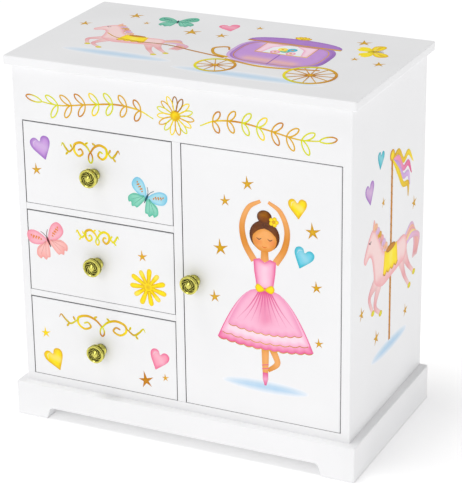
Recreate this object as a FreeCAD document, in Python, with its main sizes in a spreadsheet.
import FreeCAD, Part
import math
import os
import re
import Sketcher

# Musical jewellery cabinet: a painted board carcass with a hinged mirror lid, three drawers, a cupboard door
# on hidden pivots and a clockwork movement that turns a folding ballerina.
# Millimetres. +Z is up, the front faces -Y, and the origin is on the floor under the middle of the box.

V = FreeCAD.Vector
doc = FreeCAD.newDocument("JewelleryCabinet")

SIZES = [
    # name, value, meaning
    ("body_w", 261, "cabinet width over the side panels"),
    ("body_d", 142.5, "cabinet depth"),
    ("body_top", 275, "height of the carcass top above the floor"),
    ("plinth_top", 27, "height of the plinth"),
    ("plinth_out", 6.3, "how far the plinth stands out of the cabinet"),
    ("plinth_board", 12, "plinth board thickness"),
    ("foot_w", 25, "width of a bracket foot at the floor"),
    ("foot_slope", 3, "how much wider a bracket foot is at its top"),
    ("arch_top", 9.3, "height of the cut between the bracket feet"),
    ("side_board", 6.5, "side panel thickness"),
    ("back_board", 5, "back panel thickness"),
    ("front_board", 7, "thickness of drawer fronts, door and frieze"),
    ("bottom_board", 6.5, "bottom panel thickness"),
    ("front_top", 234, "height of the top of the drawer and door openings"),
    ("tray_board", 4, "thickness of the floor under the top compartment"),
    ("shelf_board", 5, "thickness of the shelves between the drawers"),
    ("wall_x", -1, "centre of the wall between drawers and cupboard"),
    ("wall_board", 6.5, "thickness of that wall"),
    ("lid_over", 4.5, "lid overhang, all round"),
    ("lid_board", 6.8, "lid thickness"),
    ("gap", 0.6, "gap beside a drawer front or the door"),
    ("gap_low", 0.25, "gap under a drawer front"),
    ("gap_high", 0.85, "gap over a drawer front"),
    ("drawer_board", 4, "drawer side thickness"),
    ("drawer_wall", 48, "height of the drawer sides"),
    ("drawer_end", 58, "y of the back of a drawer"),
    ("drawer_floor", 2.5, "drawer bottom thickness"),
    ("lining", 1.0, "thickness of a fabric lining"),
    ("knob_len", 11.5, "how far a knob stands out"),
    ("knob_rad", 6.9, "radius of a knob head"),
    ("knob_dx", -2.2, "knob offset from the middle of a drawer, in X"),
    ("knob_dz", -1.9, "knob offset from the middle of a drawer, in Z"),
    ("door_knob_x", 11.4, "X of the door knob"),
    ("door_knob_z", 131.8, "height of the door knob"),
    ("screw_rad", 1.5, "radius of a knob screw"),
    ("pivot_in", 2.3, "door pivot from the door's front and right faces"),
    ("pivot_rad", 1.0, "radius of a door pivot pin"),
    ("running", 0.05, "radial clearance of a turning fit"),
    ("hinge_x", 80, "distance of a lid hinge from the middle"),
    ("hinge_w", 22, "lid hinge width"),
    ("hinge_out", 2.0, "lid hinge axis behind the cabinet"),
    ("knuckle_rad", 2.0, "radius of a lid hinge knuckle"),
    ("leaf", 0.8, "lid hinge leaf thickness"),
    ("leaf_len", 6.4, "lid hinge leaf length from its axis"),
    ("hinge_pin", 0.9, "radius of a lid hinge pin"),
    ("mirror_w", 206, "mirror width"),
    ("mirror_d", 90, "mirror depth"),
    ("mirror_frame", 13, "width of the frame round the mirror"),
    ("mirror_rise", 4, "how far the mirror frame stands under the lid"),
    ("drum_x", 68, "X of the music drum and of the dancer"),
    ("dancer_y", 8, "Y of the dancer's spindle"),
    ("works_z", 214, "height of the drum and winding axes"),
    ("drum_rad", 6.3, "radius of the pinned drum"),
    ("train_mod", 0.6, "tooth module of the winding wheel and drum pinion"),
    ("wheel_teeth", 40, "teeth on the winding wheel"),
    ("pinion_teeth", 16, "teeth on the drum pinion"),
    ("fine_mod", 0.5, "tooth module of the governor train"),
    ("drum_teeth", 36, "teeth on the drum's governor wheel"),
    ("fine_teeth", 9, "teeth on the governor pinion"),
    ("worm_teeth", 10, "teeth on the worm wheel"),
    ("worm_pitch", 2, "pitch of the governor worm"),
    ("worm_rad", 2.2, "pitch radius of the governor worm"),
    ("key_out", 11.5, "how far the winding key stands out of the back"),
    ("fold_angle", 80, "how far the ballerina is folded over under the lid"),
    ("spring_len", 7, "length of the ballerina's spring"),
    ("disc_top", 242, "height of the turntable's top"),
    ("pedestal", 3, "height of the pedestal on the turntable"),
    ("spindle_hole", 1.6, "radius of the dancer's hole in the tray floor"),
    ("stop_x", 98, "X of the stop rod"),
    ("stop_y", 60, "Y of the stop rod"),
    ("stop_hole", 1.15, "radius of the stop rod's hole"),
]

sheet = doc.addObject("Spreadsheet::Sheet", "Sizes")
for row, (alias, value, meaning) in enumerate(SIZES, 1):
    sheet.set(f"A{row}", meaning)
    sheet.set(f"B{row}", str(value))
    sheet.setAlias(f"B{row}", alias)
doc.recompute()
ALIASES = {alias for alias, _, _ in SIZES}
nodes = {}

# Planes that many boards share, written as expressions of the sheet.
SIDE_IN = "(body_w / 2 - side_board)"
FRONT = "(-body_d / 2)"
FRONT_IN = "(-body_d / 2 + front_board)"
BACK = "(body_d / 2)"
BACK_IN = "(body_d / 2 - back_board)"
BOTTOM_IN = "(plinth_top + bottom_board)"
TRAY_TOP = "(front_top + tray_board)"
WALL_LEFT = "(wall_x - wall_board / 2)"
WALL_RIGHT = "(wall_x + wall_board / 2)"
PLINTH_X = "(body_w / 2 + plinth_out)"
PLINTH_Y = "(body_d / 2 + plinth_out)"
HINGE_Y = "(body_d / 2 + hinge_out)"
BAY = "((front_top - plinth_top - bottom_board - 2 * shelf_board) / 3)"


def size(alias):
    """One driving dimension, as a number."""
    return float(sheet.get(alias))


def cells(expression):
    """An expression with each size named as its spreadsheet cell."""
    return re.sub(
        r"[a-z_]+", lambda m: "Sizes." + m.group(0) if m.group(0) in ALIASES else m.group(0), str(expression)
    )


def bind(obj, **expressions):
    """Binds properties to expressions. Two underscores in a name stand for a dot."""
    for prop, expression in expressions.items():
        obj.setExpression(prop.replace("__", "."), cells(expression))
    return obj


def move(obj, x="0", y="0", z="0"):
    """Binds an object's position to three expressions."""
    return bind(obj, Placement__Base__x=x, Placement__Base__y=y, Placement__Base__z=z)


def node(name, obj):
    """Registers an object as a sub-part: its label names its file."""
    obj.Label = name
    nodes[name] = obj
    return obj


def box(x0, x1, y0, y1, z0, z1):
    """A square-edged block between six planes, each an expression."""
    block = doc.addObject("Part::Box", "Block")
    bind(block, Length=f"({x1}) - ({x0})", Width=f"({y1}) - ({y0})", Height=f"({z1}) - ({z0})")
    return move(block, x0, y0, z0)


TURNS = {"X": FreeCAD.Rotation(V(0, 1, 0), 90), "Y": FreeCAD.Rotation(V(1, 0, 0), -90), "Z": FreeCAD.Rotation()}


def rod(x, y, z, radius, length, axis="Z"):
    """A cylinder that starts at a point and runs along +X, +Y or +Z."""
    cylinder = doc.addObject("Part::Cylinder", "Rod")
    cylinder.Placement = FreeCAD.Placement(V(0, 0, 0), TURNS[axis])
    bind(cylinder, Radius=radius, Height=length)
    return move(cylinder, x, y, z)


def fuse(*objs):
    """Several objects as one solid."""
    joined = doc.addObject("Part::MultiFuse", "Fused")
    joined.Shapes = list(objs)
    return joined


def cut(base, *tools):
    """An object with others cut out of it."""
    taken = doc.addObject("Part::Cut", "Cut")
    taken.Base = base
    taken.Tool = tools[0] if len(tools) == 1 else fuse(*tools)
    return taken


def group(*objs):
    """Several separate solids that share one node."""
    together = doc.addObject("Part::Compound", "Group")
    together.Links = list(objs)
    return together


def plane_of(body, role):
    """One of a body's own origin planes."""
    return next(f for f in body.Origin.OriginFeatures if f.Role == role)


def outline(sketch, corners, holes=()):
    """Draws a closed polygon and round holes, each point bound to a pair of expressions."""
    count = len(corners)
    start = [V(10 * math.cos(2 * math.pi * i / count), 10 * math.sin(2 * math.pi * i / count), 0) for i in range(count)]
    for i in range(count):
        sketch.addGeometry(Part.LineSegment(start[i], start[(i + 1) % count]), False)
    for i in range(count):
        sketch.addConstraint(Sketcher.Constraint("Coincident", i, 2, (i + 1) % count, 1))
    for i, (u, v) in enumerate(corners):
        for axis, way, expression in (("u", "DistanceX", u), ("v", "DistanceY", v)):
            sketch.addConstraint(Sketcher.Constraint(way, -1, 1, i, 1, 1.0 + i))
            name = f"{axis}{i}"
            sketch.renameConstraint(sketch.ConstraintCount - 1, name)
            sketch.setExpression(f"Constraints.{name}", cells(expression))
    for k, (u, v, radius) in enumerate(holes):
        circle = sketch.addGeometry(Part.Circle(V(k, k, 0), V(0, 0, 1), 1), False)
        for axis, expression, made in (
            ("hu", u, Sketcher.Constraint("DistanceX", -1, 1, circle, 3, 1.0)),
            ("hv", v, Sketcher.Constraint("DistanceY", -1, 1, circle, 3, 1.0)),
            ("hr", radius, Sketcher.Constraint("Radius", circle, 1.0)),
        ):
            sketch.addConstraint(made)
            sketch.renameConstraint(sketch.ConstraintCount - 1, f"{axis}{k}")
            sketch.setExpression(f"Constraints.{axis}{k}", cells(expression))


def padded_board(name, role, corners, thickness, holes=()):
    """A body with one sketch on an origin plane, padded to a thickness. An XZ_Plane pad grows towards -Y."""
    body = doc.addObject("PartDesign::Body", name)
    sketch = body.newObject("Sketcher::SketchObject", name + "_sketch")
    sketch.AttachmentSupport = (plane_of(body, role), [""])
    sketch.MapMode = "FlatFace"
    outline(sketch, corners, holes)
    pad = body.newObject("PartDesign::Pad", name + "_pad")
    pad.Profile = sketch
    bind(pad, Length=thickness)
    doc.recompute()
    return body, pad


def soften(body, base, radius, wanted):
    """Rounds the edges of a body's feature that a test picks out."""
    names = [f"Edge{i}" for i, edge in enumerate(base.Shape.Edges, 1) if wanted(edge.BoundBox)]
    fillet = body.newObject("PartDesign::Fillet", body.Name + "_round")
    fillet.Base = (base, names)
    fillet.Radius = radius
    body.Tip = fillet
    doc.recompute()
    return fillet


def rectangle(u0, u1, v0, v1):
    """The corners of a rectangle, as expressions."""
    return [(u0, v0), (u1, v0), (u1, v1), (u0, v1)]


def flat(low, high, value):
    """True where an edge lies wholly at one coordinate."""
    return abs(low - value) < 1e-4 and abs(high - value) < 1e-4


# ------------------------------------------------------------------ carcass


def side_panels():
    """Two full-height boards with softened outer corners."""
    for name, side in (("side_panel_left", -1), ("side_panel_right", 1)):
        body, pad = padded_board(name, "YZ_Plane", rectangle(FRONT, BACK, "plinth_top", "body_top"), "side_board")
        outer = 0 if side < 0 else size("side_board")
        soften(
            body, pad, 0.8,
            lambda b, at=outer: flat(b.XMin, b.XMax, at) and b.ZLength > 1,
        )
        move(body, "-body_w / 2" if side < 0 else SIDE_IN)
        node(name, body)


def carcass_boards():
    """The boards between the side panels."""
    node("bottom_panel", cut(
        box("-" + SIDE_IN, SIDE_IN, FRONT, BACK_IN, "plinth_top", BOTTOM_IN),
        rod(f"{SIDE_IN} - gap - pivot_in", f"{FRONT} + pivot_in", "plinth_top + 2.5", "pivot_rad + running", "bottom_board"),
    ))
    node("centre_wall", box(WALL_LEFT, WALL_RIGHT, FRONT, BACK_IN, BOTTOM_IN, "front_top"))
    shelves = []
    for number in (1, 2):
        low = f"{BOTTOM_IN} + {number} * {BAY} + {number - 1} * shelf_board"
        shelves.append(box("-" + SIDE_IN, WALL_LEFT, FRONT, BACK_IN, low, f"{low} + shelf_board"))
    node("drawer_shelves", group(*shelves))
    node("tray_floor", cut(
        box("-" + SIDE_IN, SIDE_IN, FRONT_IN, BACK_IN, "front_top", TRAY_TOP),
        rod("drum_x", "dancer_y", "front_top - 1", "spindle_hole", "tray_board + 2"),
        rod("stop_x", "stop_y", "front_top - 1", "stop_hole", "tray_board + 2"),
    ))
    node("frieze_panel", cut(
        box("-" + SIDE_IN, SIDE_IN, FRONT, FRONT_IN, "front_top", "body_top"),
        rod(f"{SIDE_IN} - gap - pivot_in", f"{FRONT} + pivot_in", "front_top - 1", "pivot_rad + running", "5.5"),
    ))


def back_panel():
    """The back, bored for the winding arbor and let in for the lid hinges."""
    lets = [
        box(f"{side} * hinge_x - hinge_w / 2", f"{side} * hinge_x + hinge_w / 2", f"{HINGE_Y} - leaf_len", f"{BACK} + 1",
            "body_top - leaf", "body_top + 1")
        for side in (-1, 1)
    ]
    board = box("-" + SIDE_IN, SIDE_IN, BACK_IN, BACK, "plinth_top", "body_top")
    bore = rod("drum_x + (wheel_teeth + pinion_teeth) * train_mod / 2", f"{BACK_IN} - 1", "works_z", "4", "back_board + 2", "Y")
    node("back_panel", cut(board, bore, *lets))


def plinth():
    """Skirt boards. The front and back ones are cut away between bracket feet."""
    arch = [
        ("-" + PLINTH_X, "0"), (f"-{PLINTH_X} + foot_w", "0"),
        (f"-{PLINTH_X} + foot_w + foot_slope", "arch_top"),
        (f"{PLINTH_X} - foot_w - foot_slope", "arch_top"),
        (f"{PLINTH_X} - foot_w", "0"), (PLINTH_X, "0"),
        (PLINTH_X, "plinth_top"), ("-" + PLINTH_X, "plinth_top"),
    ]
    end = size("body_w") / 2 + size("plinth_out")
    slope_end = end - size("foot_w") - size("foot_slope")
    boards = {}
    for name, y in (("plinth_front", f"-{PLINTH_Y} + plinth_board"), ("plinth_back", BACK)):
        body, pad = padded_board(name, "XZ_Plane", arch, "plinth_board")
        arched = soften(
            body, pad, 3.5,
            lambda b: b.YLength > 1 and flat(b.ZMin, b.ZMax, size("arch_top")) and abs(abs(b.XMin) - slope_end) < 0.01,
        )
        front = -size("plinth_board")
        soften(
            body, arched, 1.0,
            lambda b, at=front: (flat(b.ZMin, b.ZMax, size("plinth_top")) and (
                abs(abs(b.Center.x) - end) < 0.01 or (name == "plinth_front" and flat(b.YMin, b.YMax, at))))
            or (name == "plinth_front" and b.ZLength > 20 and flat(b.YMin, b.YMax, at)),
        )
        boards[name] = move(body, "0", y)
    node("plinth_front", boards["plinth_front"])
    for side in (-1, 1):
        name = "plinth_side_left" if side < 0 else "plinth_side_right"
        body, pad = padded_board(
            name, "YZ_Plane",
            rectangle(f"-{PLINTH_Y} + plinth_board", f"{BACK} - plinth_board", "0", "plinth_top"), "plinth_board",
        )
        outer = 0 if side < 0 else size("plinth_board")
        soften(body, pad, 1.0, lambda b, at=outer: flat(b.XMin, b.XMax, at) and flat(b.ZMin, b.ZMax, size("plinth_top")))
        boards[name] = move(body, f"-{PLINTH_X}" if side < 0 else f"{PLINTH_X} - plinth_board")
    node("plinth_sides_and_back", group(boards["plinth_side_left"], boards["plinth_side_right"], boards["plinth_back"]))


# ------------------------------------------------------------------ drawers


def knob(name, x, z):
    """A turned brass knob on its rosette, standing out towards -Y."""
    body = doc.addObject("PartDesign::Body", name)
    sketch = body.newObject("Sketcher::SketchObject", name + "_profile")
    sketch.AttachmentSupport = (plane_of(body, "XY_Plane"), [""])
    sketch.MapMode = "FlatFace"
    outline(sketch, [
        ("screw_rad", "0"), ("knob_rad - 2.5", "0"), ("knob_rad - 2.5", "-0.7"), ("knob_rad - 3.2", "-1.3"),
        ("knob_rad - 3.8", "-2"), ("knob_rad - 3.9", "-4.2"), ("knob_rad - 3.2", "-5.2"), ("knob_rad - 1.4", "-5.8"),
        ("knob_rad - 0.7", "-6.2"), ("knob_rad - 0.7", "-7.5"), ("knob_rad - 1.5", "-7.9"), ("knob_rad - 1.5", "-8.5"),
        ("knob_rad - 0.3", "-8.9"), ("knob_rad", "-9.3"), ("knob_rad", "-10.2"), ("knob_rad - 0.5", "-10.7"),
        ("knob_rad - 1.2", "-10.8"), ("knob_rad - 1.7", "-10.1"), ("knob_rad - 4.2", "-10.1"), ("knob_rad - 4.6", "-10.7"),
        ("knob_rad - 5.3", "-knob_len + 0.4"), ("knob_rad - 6", "-knob_len + 0.1"),
        ("0", "-knob_len"), ("0", "-5"), ("screw_rad", "-5"),
    ])
    turned = body.newObject("PartDesign::Revolution", name + "_turned")
    turned.Profile = sketch
    turned.ReferenceAxis = (sketch, ["V_Axis"])
    turned.Angle = 360
    doc.recompute()
    move(body, x, FRONT, z)
    return node(name, body)


def knob_screw(name, x, z):
    """The pan-head screw that holds a knob from inside."""
    return node(name, fuse(
        rod(x, f"{FRONT_IN}", z, "2.9", "1.6", "Y"),
        rod(x, f"{FRONT} - 4.8", z, "screw_rad", "front_board + 4.8", "Y"),
    ))


def front_face(name, x0, x1, z0, z1, holes, sharp_side=None):
    """A flush front with softened edges. One vertical edge can be rounder, beside a pivot."""
    body, pad = padded_board(name, "XZ_Plane", rectangle(x0, x1, z0, z1), "front_board", holes)
    face = -size("front_board")
    box_of = pad.Shape.BoundBox
    if sharp_side:
        pad = soften(
            body, pad, sharp_side,
            lambda b: b.ZLength > 20 and flat(b.YMin, b.YMax, face) and flat(b.XMin, b.XMax, box_of.XMax),
        )
    soften(
        body, pad, 0.5,
        lambda b: flat(b.YMin, b.YMax, face) and max(b.XLength, b.ZLength) > 20
        and not (sharp_side and b.XMax > box_of.XMax - 2 and b.ZLength > 20),
    )
    move(body, "0", FRONT_IN)
    return body


def drawers():
    """Three drawers, each a front, a glued box, a lining, a knob and its screw."""
    left, right = f"(-{SIDE_IN} + gap)", f"({WALL_LEFT} - gap)"
    inner_left, inner_right = f"({left} + drawer_board)", f"({right} - drawer_board)"
    knob_x = f"(({left} + {right}) / 2 + knob_dx)"
    for number, bay in ((1, 2), (2, 1), (3, 0)):
        low = f"({BOTTOM_IN} + {bay} * ({BAY} + shelf_board))"
        base = f"({low} + gap_low)"
        top = f"({low} + {BAY} - gap_high)"
        knob_z = f"({low} + {BAY} / 2 + knob_dz)"
        name = f"drawer_{number}_"
        node(name + "front", front_face(
            name + "front_body", left, right, base, top, [(knob_x, knob_z, "screw_rad + running")]))
        rim = f"({base} + drawer_wall)"
        floor = f"({base} + 0.4)"
        node(name + "box", group(
            box(left, inner_left, FRONT_IN, "drawer_end", base, rim),
            box(inner_right, right, FRONT_IN, "drawer_end", base, rim),
            box(inner_left, inner_right, "drawer_end - drawer_board", "drawer_end", base, rim),
            box(inner_left, inner_right, FRONT_IN, "drawer_end - drawer_board", floor, f"{floor} + drawer_floor"),
        ))
        bed = f"({floor} + drawer_floor)"
        node(name + "lining", cut(
            box(inner_left, inner_right, FRONT_IN, "drawer_end - drawer_board", bed, f"{rim} - 3"),
            box(f"{inner_left} + lining", f"{inner_right} - lining", f"{FRONT_IN} + lining",
                "drawer_end - drawer_board - lining", f"{bed} + lining", rim),
            rod(knob_x, f"{FRONT_IN} - 1", knob_z, "4.2", "lining + 2", "Y"),
        ))
        knob(name + "knob", knob_x, knob_z)
        knob_screw(name + "knob_screw", knob_x, knob_z)


# ------------------------------------------------------------------ door and cupboard


def door():
    """The cupboard door on two hidden pivot pins, with its knob and strike plate."""
    left, right = f"({WALL_RIGHT} + gap)", f"({SIDE_IN} - gap)"
    low, high = f"({BOTTOM_IN} + gap_low)", "(front_top - gap)"
    panel = front_face(
        "door_body", left, right, low, high, [("door_knob_x", "door_knob_z", "screw_rad + running")], sharp_side=1.2)
    pin_x, pin_y = f"({right} - pivot_in)", f"({FRONT} + pivot_in)"
    pins = [(f"({low} - 3.5)", "7.5"), (f"({high} - 4)", "7.5")]
    node("door_panel", cut(panel, *[rod(pin_x, pin_y, z, "pivot_rad", tall) for z, tall in pins]))
    node("door_pivot_pins", group(*[rod(pin_x, pin_y, z, "pivot_rad", tall) for z, tall in pins]))
    knob("door_knob", "door_knob_x", "door_knob_z")
    knob_screw("door_knob_screw", "door_knob_x", "door_knob_z")
    node("door_strike_plate", box(f"{left} + 0.8", f"{left} + 6.8", FRONT_IN, f"{FRONT_IN} + 1.2", "206", "216"))
    node("magnet_catch", box(WALL_RIGHT, f"{WALL_RIGHT} + 7", f"{FRONT_IN} + 1.6", f"{FRONT_IN} + 9.6", "205", "217"))
    pegs = [box("14", "112", f"{BACK_IN} - 6", BACK_IN, "170", "184")]
    for number in range(5):
        x = str(23 + 20 * number)
        ball = doc.addObject("Part::Sphere", "PegBall")
        bind(ball, Radius="3")
        move(ball, x, f"{BACK_IN} - 32", "177")
        pegs.append(fuse(rod(x, f"{BACK_IN} - 32", "177", "1.8", "26", "Y"), ball))
    node("necklace_pegs", group(*pegs))


# ------------------------------------------------------------------ top compartment


def top_compartment():
    """The fabric-lined tray, its dividers and the ring rolls."""
    inner = (f"-{SIDE_IN}", SIDE_IN, FRONT_IN, BACK_IN)
    node("tray_lining", cut(
        box(*inner, TRAY_TOP, "body_top - 6"),
        box(f"{inner[0]} + lining", f"{inner[1]} - lining", f"{inner[2]} + lining", f"{inner[3]} - lining",
            f"{TRAY_TOP} + lining", "body_top"),
        rod("drum_x", "dancer_y", "front_top", "4", "12"),
        rod("stop_x", "stop_y", "front_top", "2", "12"),
    ))
    bed = f"({TRAY_TOP} + lining)"
    left, right = f"(-{SIDE_IN} + lining)", f"({SIDE_IN} - lining)"
    front, back = f"({FRONT_IN} + lining)", f"({BACK_IN} - lining)"
    stage_wall = "8"
    node("tray_dividers", group(
        box(stage_wall, f"{stage_wall} + 2.5", front, back, bed, f"{bed} + 23"),
        box(left, stage_wall, "0", "2.5", bed, f"{bed} + 23"),
        box("-58", "-55.5", front, "0", bed, f"{bed} + 23"),
    ))
    radius = 5.9
    node("ring_rolls", group(*[
        rod(f"{left} + 0.5", f"{front} + {radius + 0.3 + 2 * number * (radius + 0.15):.2f}", f"{bed} + {radius}",
            f"{radius}", "63.5", "X")
        for number in range(5)
    ]))


# ------------------------------------------------------------------ lid


def lid_hinge_cuts():
    """Room in the lid for the hinge leaves and knuckles."""
    made = []
    for side in (-1, 1):
        x0, x1 = f"{side} * hinge_x - hinge_w / 2", f"{side} * hinge_x + hinge_w / 2"
        made.append(box(x0, x1, f"{HINGE_Y} - leaf_len", f"{HINGE_Y}", "body_top - 1", "body_top + leaf"))
        made.append(box(f"{x0} - 0.3", f"{x1} + 0.3", f"{HINGE_Y} - knuckle_rad - 0.25", f"{BACK} + lid_over + 1",
                        "body_top - 1", "body_top + knuckle_rad + 0.4"))
    return made


def lid():
    """The overhanging lid board, its mirror and the mirror's frame."""
    over_x, over_y = "(body_w / 2 + lid_over)", "(body_d / 2 + lid_over)"
    body, pad = padded_board("lid_body", "XY_Plane", rectangle("-" + over_x, over_x, "-" + over_y, over_y), "lid_board")
    corners = soften(body, pad, 2.0, lambda b: b.ZLength > 1)
    top = size("lid_board")
    soften(body, corners, 1.1, lambda b: flat(b.ZMin, b.ZMax, top) or (flat(b.ZMin, b.ZMax, 0) and b.DiagonalLength > 0))
    move(body, "0", "0", "body_top")
    node("lid_panel", cut(body, *lid_hinge_cuts()))
    low = "(body_top - mirror_rise)"
    outer_x, outer_y = "(mirror_w / 2 + mirror_frame)", "(mirror_d / 2 + mirror_frame)"
    lip = 1.5
    node("mirror_frame", cut(
        box(f"-{outer_x}", outer_x, f"-{outer_y}", outer_y, low, "body_top"),
        box("-mirror_w / 2", "mirror_w / 2", "-mirror_d / 2", "mirror_d / 2", f"{low} + 1.2", "body_top + 1"),
        box(f"-mirror_w / 2 + {lip}", f"mirror_w / 2 - {lip}", f"-mirror_d / 2 + {lip}", f"mirror_d / 2 - {lip}",
            f"{low} - 1", "body_top"),
    ))
    node("mirror_glass", box("-mirror_w / 2", "mirror_w / 2", "-mirror_d / 2", "mirror_d / 2", f"{low} + 1.2", "body_top"))


def lid_hinges():
    """Two butt hinges: three knuckles each, two on the cabinet leaf and one on the lid leaf."""
    cabinet, cover, pins, cabinet_screws, cover_screws = [], [], [], [], []
    third = "(hinge_w / 3)"
    for side in (-1, 1):
        start = f"({side} * hinge_x - hinge_w / 2)"
        bore = lambda extra: rod(f"{start} - 1", HINGE_Y, "body_top", f"hinge_pin + {extra}", "hinge_w + 2", "X")
        leaf_y = (f"{HINGE_Y} - leaf_len", HINGE_Y)
        low_leaf = box(start, f"{start} + hinge_w", *leaf_y, "body_top - leaf", "body_top")
        high_leaf = box(start, f"{start} + hinge_w", *leaf_y, "body_top", "body_top + leaf")
        middle = (f"{start} + {third} - 0.1", f"{start} + 2 * {third} + 0.1")
        outer = fuse(
            rod(start, HINGE_Y, "body_top", "knuckle_rad", f"{third} - 0.1", "X"),
            rod(f"{start} + 2 * {third} + 0.1", HINGE_Y, "body_top", "knuckle_rad", f"{third} - 0.1", "X"),
            low_leaf,
        )
        inner = fuse(rod(f"{start} + {third} + 0.1", HINGE_Y, "body_top", "knuckle_rad", f"{third} - 0.2", "X"), high_leaf)
        room = "knuckle_rad + 0.15"
        middle_room = rod(middle[0], HINGE_Y, "body_top", room, f"{third} + 0.2", "X")
        outer_room = [
            rod(f"{start} - 1", HINGE_Y, "body_top", room, f"{third} + 1.1", "X"),
            rod(f"{start} + 2 * {third} - 0.1", HINGE_Y, "body_top", room, f"{third} + 1.2", "X"),
        ]
        holes = [(f"{start} + hinge_w * {share}", f"{HINGE_Y} - leaf_len + 2") for share in (0.2, 0.8)]
        cabinet.append(cut(outer, middle_room, bore("0"), *[rod(x, y, "body_top - 2", "1.0", "4") for x, y in holes]))
        cover.append(cut(inner, *outer_room, bore("running"), *[rod(x, y, "body_top - 2", "1.0", "4") for x, y in holes]))
        pins.append(rod(start, HINGE_Y, "body_top", "hinge_pin", "hinge_w", "X"))
        cabinet_screws += [rod(x, y, "body_top - 7", "1.0", "6.9") for x, y in holes]
        cover_screws += [rod(x, y, "body_top + 0.1", "1.0", "5") for x, y in holes]
    node("lid_hinge_cabinet_leaves", group(*cabinet))
    node("lid_hinge_lid_leaves", group(*cover))
    node("lid_hinge_pins", group(*pins))
    node("hinge_screws_cabinet", group(*cabinet_screws))
    node("hinge_screws_lid", group(*cover_screws))


# ------------------------------------------------------------------ music movement


def feature(name, shape):
    """A sub-part whose shape is computed here, where no sketch or primitive fits."""
    made = doc.addObject("Part::Feature", "Made_" + name)
    made.Shape = shape
    return node(name, made)


def tooth_points(teeth, radius, tip, root, phase, tip_share=0.13, root_share=0.31):
    """A toothed wheel's outline as (u, v) points: four to a tooth, with straight flanks."""
    points = []
    step = 2 * math.pi / teeth
    for k in range(teeth):
        middle = phase + k * step
        for share, r in ((-root_share, radius - root), (-tip_share, radius + tip), (tip_share, radius + tip),
                         (root_share, radius - root)):
            angle = middle + share * step
            points.append((r * math.cos(angle), r * math.sin(angle)))
    return points


def wheel_wire(points, place, scale=1.0):
    """A closed wire through outline points, put in space by a function."""
    corners = [place(u * scale, v * scale) for u, v in points]
    return Part.makePolygon(corners + corners[:1])


def spur_wheel(points, x, z, y0, width):
    """A toothed wheel on an axis along Y."""
    wire = wheel_wire(points, lambda u, v: V(x + u, y0, z + v))
    return Part.Face(wire).extrude(V(0, width, 0))


def shaft(x, y, z, radius, length, direction):
    """A plain round shaft."""
    return Part.makeCylinder(radius, length, V(x, y, z), direction)


ALONG_Y, ALONG_Z = V(0, 1, 0), V(0, 0, 1)


def works_layout():
    """Centres of the movement's axes, worked out from the tooth counts."""
    drum_x, works_z, mod, fine = size("drum_x"), size("works_z"), size("train_mod"), size("fine_mod")
    arbor_x = drum_x + (size("wheel_teeth") + size("pinion_teeth")) * mod / 2
    reach = (size("drum_teeth") + size("fine_teeth")) * fine / 2
    below = math.radians(-60)
    fine_x, fine_z = drum_x + reach * math.cos(below), works_z + reach * math.sin(below)
    wheel_rad = size("worm_teeth") * size("worm_pitch") / (2 * math.pi)
    worm_x = fine_x + wheel_rad + size("worm_rad")
    return dict(drum_x=drum_x, z=works_z, arbor_x=arbor_x, fine_x=fine_x, fine_z=fine_z, worm_x=worm_x,
                worm_y=28.0, wheel_rad=wheel_rad, mesh=below)


def bedplate(at):
    """The cast frame: a base plate with bearing uprights for every axis."""
    z0 = 198.0
    plate = Part.makeBox(64, 60, 2, V(34, 2, z0 - 2))
    front = Part.makeBox(12, 2, at["z"] + 5 - z0, V(at["drum_x"] - 6, 14, z0))
    middle = Part.makeBox(32, 2, 23, V(61, 43, z0))
    low = Part.makeBox(6, 2, 9, V(at["fine_x"] - 3, 21.5, z0))
    post = Part.makeBox(6, 2, 30, V(at["worm_x"] - 3, 43, z0))
    arm = Part.makeBox(6, 20, 1.5, V(at["worm_x"] - 3, 25, 226.5))
    comb_block = Part.makeBox(9, 18, at["z"] - 0.5 - z0, V(33.5, 19, z0))
    frame = plate.multiFuse([front, middle, low, post, arm, comb_block]).removeSplitter()
    free = size("running")
    bores = [
        shaft(at["drum_x"], 10, at["z"], 1.0 + free, 40, ALONG_Y),
        shaft(at["arbor_x"], 40, at["z"], 1.5 + free, 10, ALONG_Y),
        shaft(at["fine_x"], 20, at["fine_z"], 0.8 + free, 30, ALONG_Y),
        shaft(at["worm_x"], at["worm_y"], z0 - 3, 0.8 + free, 40, ALONG_Z),
    ]
    return frame.cut(Part.makeCompound(bores))


def comb(at):
    """The steel comb: eighteen tuned teeth whose tips reach the drum."""
    tip = at["drum_x"] - size("drum_rad") - 0.75
    plate = Part.makeBox(tip - 33.5, 18, 1.0, V(33.5, 19, at["z"] - 0.5))
    slots = [Part.makeBox(tip - 43, 0.25, 3, V(43.5, 19.875 + k, at["z"] - 1.5)) for k in range(17)]
    holes = [shaft(38, y, at["z"] - 2, 1.2, 4, ALONG_Z) for y in (23, 33)]
    return plate.cut(Part.makeCompound(slots + holes))


def drum(at):
    """The brass drum with its tune in pins, bored for its arbor."""
    radius = size("drum_rad")
    barrel = shaft(at["drum_x"], 19, at["z"], radius, 18, ALONG_Y)
    pins = []
    for k in range(40):
        angle = math.radians(137.5 * k)
        direction = V(math.cos(angle), 0, math.sin(angle))
        foot = V(at["drum_x"], 19.5 + (k * 7) % 18, at["z"]) + direction * (radius - 0.6)
        pins.append(Part.makeCylinder(0.22, 1.05, foot, direction))
    return barrel.multiFuse(pins).cut(shaft(at["drum_x"], 18, at["z"], 1.0, 20, ALONG_Y))


def bevel_wheel(teeth, radius, tip, root, phase, place, apex_scale=0.62):
    """A bevel wheel: its outline shrinks towards the apex where both axes meet."""
    points = tooth_points(teeth, radius, tip, root, phase)
    return Part.makeLoft([wheel_wire(points, place(1.0)), wheel_wire(points, place(apex_scale), apex_scale)], True, True)


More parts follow.
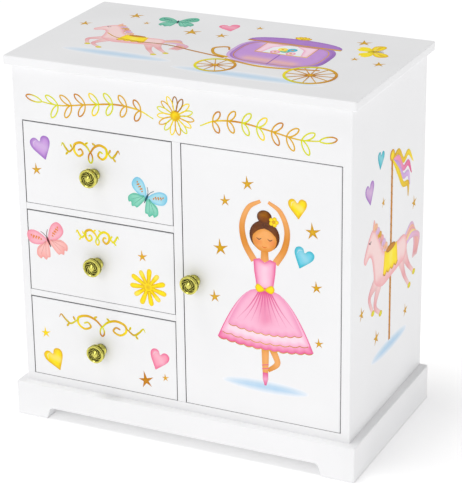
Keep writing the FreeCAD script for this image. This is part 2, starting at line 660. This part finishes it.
def drum_arbor(at):
    """The drum's shaft with its bevel wheel, governor wheel and pinion."""
    apex_y = size("dancer_y")
    bevel = bevel_wheel(
        20, 8.0, 0.8, 1.7, math.pi / 2,
        lambda k: lambda u, v: V(at["drum_x"] + u, apex_y + 4.0 * k, at["z"] + v))
    fine, coarse = size("fine_mod"), size("train_mod")
    governor = spur_wheel(
        tooth_points(int(size("drum_teeth")), size("drum_teeth") * fine / 2, 0.8 * fine, 1.2 * fine, at["mesh"]),
        at["drum_x"], at["z"], 40, 2)
    teeth = int(size("pinion_teeth"))
    pinion = spur_wheel(
        tooth_points(teeth, teeth * coarse / 2, 0.8 * coarse, 1.2 * coarse, math.pi / teeth), at["drum_x"], at["z"], 46, 2)
    return shaft(at["drum_x"], 10.5, at["z"], 1.0, 38, ALONG_Y).multiFuse([bevel, governor, pinion])


def winding_arbor(at):
    """The winding shaft with the great wheel that drives the drum."""
    coarse, teeth = size("train_mod"), int(size("wheel_teeth"))
    wheel = spur_wheel(
        tooth_points(teeth, teeth * coarse / 2, 0.8 * coarse, 1.2 * coarse, math.pi), at["arbor_x"], at["z"], 46, 2)
    return wheel.fuse(shaft(at["arbor_x"], 43.2, at["z"], 1.5, 34, ALONG_Y))


def spring_barrel(at):
    """The fixed drum-shaped case of the mainspring."""
    outer = shaft(at["arbor_x"], 49, at["z"], 11, 12, ALONG_Y)
    hollow = shaft(at["arbor_x"], 49.8, at["z"], 10.2, 10.4, ALONG_Y)
    return outer.cut(hollow).cut(shaft(at["arbor_x"], 48, at["z"], 1.5 + size("running"), 14, ALONG_Y))


def mainspring(at):
    """A flat spring coiled in half circles, from the arbor out to the barrel wall."""
    thick, pitch, first, halves = 0.4, 1.035, 1.7, 16
    edges_out, edges_in = [], []
    radius, centre, side = first, 0.0, 1
    for k in range(halves):
        for store, r in ((edges_out, radius + thick / 2), (edges_in, radius - thick / 2)):
            a, b, c = [V(centre + side * r * math.cos(t), 0, r * math.sin(t) * side) for t in (0, math.pi / 2, math.pi)]
            store.append(Part.Arc(a, b, c).toShape())
        centre += side * pitch / 2
        radius += pitch / 2
        side = -side
    start = Part.makeLine(edges_out[0].Vertexes[0].Point, edges_in[0].Vertexes[0].Point)
    end = Part.makeLine(edges_out[-1].Vertexes[-1].Point, edges_in[-1].Vertexes[-1].Point)
    wire = Part.Wire(Part.__sortEdges__(edges_out + edges_in + [start, end]))
    spring = Part.Face(wire).extrude(V(0, 9.6, 0))
    spring.translate(V(at["arbor_x"], 50.2, at["z"]))
    return spring


def winding_key(at):
    """A butterfly key: a bored hub and two rounded wings."""
    back, out = size("body_d") / 2, size("key_out")
    hub = shaft(at["arbor_x"], back + 0.6, at["z"], 3.2, 4.4, ALONG_Y)
    wings = []
    for side in (-1, 1):
        centre_x = at["arbor_x"] + side * 6.5
        ring = shaft(centre_x, 0, 0, 1, 1, ALONG_Y)
        ring = Part.makeCylinder(5.0, 2.2, V(centre_x, back + out - 5.0, at["z"] - 1.1), ALONG_Z)
        wings.append(ring.common(Part.makeBox(30, 30, 10, V(centre_x - 15, back + 4, at["z"] - 5))))
    bridge = Part.makeBox(13, out - 4.5, 2.2, V(at["arbor_x"] - 6.5, back + 4, at["z"] - 1.1))
    return hub.multiFuse([bridge] + wings).cut(shaft(at["arbor_x"], back, at["z"], 1.5, 77.2 - back, ALONG_Y))


def governor_train(at):
    """The pinion and worm wheel on one shaft, then the worm with its fan."""
    fine, teeth = size("fine_mod"), int(size("fine_teeth"))
    opposite = at["mesh"] + math.pi
    pinion = spur_wheel(
        tooth_points(teeth, teeth * fine / 2, 0.8 * fine, 1.15 * fine, opposite + math.pi / teeth),
        at["fine_x"], at["fine_z"], 40, 2)
    worm_wheel = spur_wheel(
        tooth_points(int(size("worm_teeth")), at["wheel_rad"], 0.45, 0.75, 0.0, 0.1, 0.24),
        at["fine_x"], at["fine_z"], at["worm_y"] - 1, 2)
    feature("governor_wheel", shaft(at["fine_x"], 21.7, at["fine_z"], 0.8, 23, ALONG_Y).multiFuse([pinion, worm_wheel]))

    pitch, start = size("worm_pitch"), at["fine_z"] - 2 * size("worm_pitch")
    helix = Part.makeHelix(pitch, 4 * pitch, 1.4)
    thread = Part.makePolygon([V(1.4, 0, -0.5), V(2.7, 0, -0.2), V(2.7, 0, 0.2), V(1.4, 0, 0.5), V(1.4, 0, -0.5)])
    sweep = Part.Wire(helix).makePipeShell([thread], True, True)
    sweep.translate(V(at["worm_x"], at["worm_y"], start))
    core = shaft(at["worm_x"], at["worm_y"], start - 1, 1.55, 4 * pitch + 2, ALONG_Z)
    stem = shaft(at["worm_x"], at["worm_y"], 196.2, 0.8, 31.6, ALONG_Z)
    worm = core.multiFuse([stem, sweep])
    blade = Part.makeBox(10.8, 0.5, 5, V(at["worm_x"] - 5.4, at["worm_y"] - 0.25, 220))
    collar = shaft(at["worm_x"], at["worm_y"], 219.6, 1.5, 5.8, ALONG_Z)
    fan = collar.fuse(blade).cut(shaft(at["worm_x"], at["worm_y"], 219, 0.8, 8, ALONG_Z))
    feature("governor_worm", Part.makeCompound([worm, fan]))


def music_case():
    """The moulded case that hangs the movement under the tray floor."""
    outer = Part.makeBox(76, 69.5, 40, V(28, -4, 194))
    inner = Part.makeBox(72.4, 65.9, 40, V(29.8, -2.2, 195.8))
    hole = shaft(works_layout()["arbor_x"], 60, size("works_z"), 4, 10, ALONG_Y)
    return outer.cut(inner).cut(hole)


def movement():
    """Every piece of the clockwork."""
    at = works_layout()
    feature("music_case", music_case())
    feature("movement_bedplate", bedplate(at))
    screws = [shaft(38, y, at["z"] - 0.5, 1.2, 1.0, ALONG_Z).fuse(shaft(38, y, at["z"] + 0.5, 2.2, 1.2, ALONG_Z)) for y in (23, 33)]
    feature("comb", Part.makeCompound([comb(at)] + screws))
    feature("music_drum", drum(at))
    feature("drum_arbor", drum_arbor(at))
    feature("winding_arbor", winding_arbor(at))
    feature("spring_barrel", spring_barrel(at))
    feature("mainspring", mainspring(at))
    feature("winding_key", winding_key(at))
    governor_train(at)
    return at


# ------------------------------------------------------------------ dancer


def dancer(at):
    """The spindle, turntable, spring and the folding ballerina."""
    x, y = size("drum_x"), size("dancer_y")
    pinion = bevel_wheel(
        10, 4.0, 0.55, 0.8, math.pi / 2 + math.pi / 10,
        lambda k: lambda u, v: V(x + u, y + v, at["z"] + 8.0 * k))
    feature("dancer_spindle", shaft(x, y, 218.4, 1.5, size("disc_top") - 2 - 218.4, ALONG_Z).fuse(pinion))

    body = doc.addObject("PartDesign::Body", "turntable_body")
    sketch = body.newObject("Sketcher::SketchObject", "turntable_profile")
    sketch.AttachmentSupport = (plane_of(body, "XZ_Plane"), [""])
    sketch.MapMode = "FlatFace"
    outline(sketch, [
        ("0", "-2"), ("10", "-2"), ("10", "-0.6"), ("9.4", "0"), ("4.2", "0"), ("3.4", "0.6"), ("3.2", "pedestal"),
        ("0", "pedestal"),
    ])
    turned = body.newObject("PartDesign::Revolution", "turntable_turned")
    turned.Profile = sketch
    turned.ReferenceAxis = (sketch, ["V_Axis"])
    turned.Angle = 360
    doc.recompute()
    move(body, "drum_x", "dancer_y", "disc_top")
    node("turntable", body)

    half = size("spring_len") / 2
    fold = math.radians(size("fold_angle"))
    foot_z = size("disc_top") + size("pedestal")
    bend = half / math.tan(fold / 2)
    bent = [
        Part.Face(Part.Wire(Part.makeCircle(r, V(x, y, foot_z)))).revolve(
            V(x, y - bend, foot_z), V(1, 0, 0), size("fold_angle"))
        for r in (2.6, 1.9)
    ]
    feature("ballerina_spring", bent[0].cut(bent[1]))

    def limb(start, end, r0, r1):
        along = end - start
        tapered = Part.makeCone(r0, r1, along.Length, start, along) if abs(r0 - r1) > 1e-6 else Part.makeCylinder(
            r0, along.Length, start, along)
        return tapered.multiFuse([Part.makeSphere(r0, start), Part.makeSphere(r1, end)])

    peg = Part.makeCylinder(1.8, 1.2, V(0, 0, half), ALONG_Z)
    pieces = [
        peg, limb(V(0, 0, half + 1.6), V(0, 0, 21), 0.9, 1.9), limb(V(0, 0, 21), V(0, 0, 30.5), 2.3, 2.5),
        limb(V(0, 0, 30), V(0, 0, 34.5), 1.1, 1.1), Part.makeSphere(3.3, V(0, 0, 37.3)), Part.makeSphere(1.5, V(0, 0.6, 41.2)),
    ]
    for side in (-1, 1):
        elbow = V(side * 6.2, -0.6, 38.0)
        pieces.append(limb(V(side * 2.4, 0, 31.2), elbow, 0.95, 0.75))
        pieces.append(limb(elbow, V(side * 1.5, -0.8, 45.6), 0.75, 0.5))
    figure = pieces[0].multiFuse(pieces[1:])
    tutu_low, tutu_high, hem = 21.0, 24.2, 12.0
    skirt = Part.makePolygon([
        V(2.9, 0, tutu_high), V(hem, 0, tutu_low + 0.6), V(hem, 0, tutu_low), V(2.9, 0, tutu_low - 0.4), V(2.9, 0, tutu_high)])
    tutu = Part.Face(skirt).revolve(V(0, 0, 0), ALONG_Z, 360)
    pivot = FreeCAD.Placement(V(x, y, foot_z + half), FreeCAD.Rotation(V(1, 0, 0), size("fold_angle")))
    for name, shape in (("ballerina_figure", figure), ("ballerina_tutu", tutu)):
        feature(name, shape).Placement = pivot


def stop_rod(at):
    """The wire that the closed lid holds down against the governor fan."""
    x, y, arm_z = size("stop_x"), size("stop_y"), 229.2
    rod_shape = shaft(x, y, arm_z, 1.0, size("body_top") - 0.2 - arm_z, ALONG_Z)
    tip = V(at["worm_x"] + 5.9, at["worm_y"] + 2.2, arm_z)
    corner = V(x, y, arm_z)
    arm = Part.makeCylinder(0.6, (tip - corner).Length, corner, tip - corner)
    drop = Part.makeCylinder(0.6, 6, tip, V(0, 0, -1))
    feature("stop_rod", rod_shape.multiFuse([
        arm, drop, Part.makeSphere(0.6, tip), Part.makeSphere(1.0, corner)]))


def check_and_write():
    """Stops on any failed object, then writes one STEP file per sub-part."""
    doc.recompute()
    failed = [o.Label for o in doc.Objects if "Invalid" in o.State or "Error" in o.State]
    if failed:
        raise RuntimeError(f"failed objects: {failed}")
    os.makedirs("parts", exist_ok=True)
    for name, obj in nodes.items():
        shape = obj.Shape
        if shape.isNull() or not shape.isValid() or not shape.Solids:
            raise RuntimeError(f"{name} has no valid solid")
        shape.exportStep(os.path.join("parts", name + ".step"))
        print(f"{name}: {len(shape.Solids)} solids, {shape.Volume:.1f} mm3")
    print(len(nodes), "sub-parts")


side_panels()
carcass_boards()
back_panel()
plinth()
drawers()
door()
top_compartment()
lid()
lid_hinges()
layout = movement()
dancer(layout)
stop_rod(layout)
check_and_write()
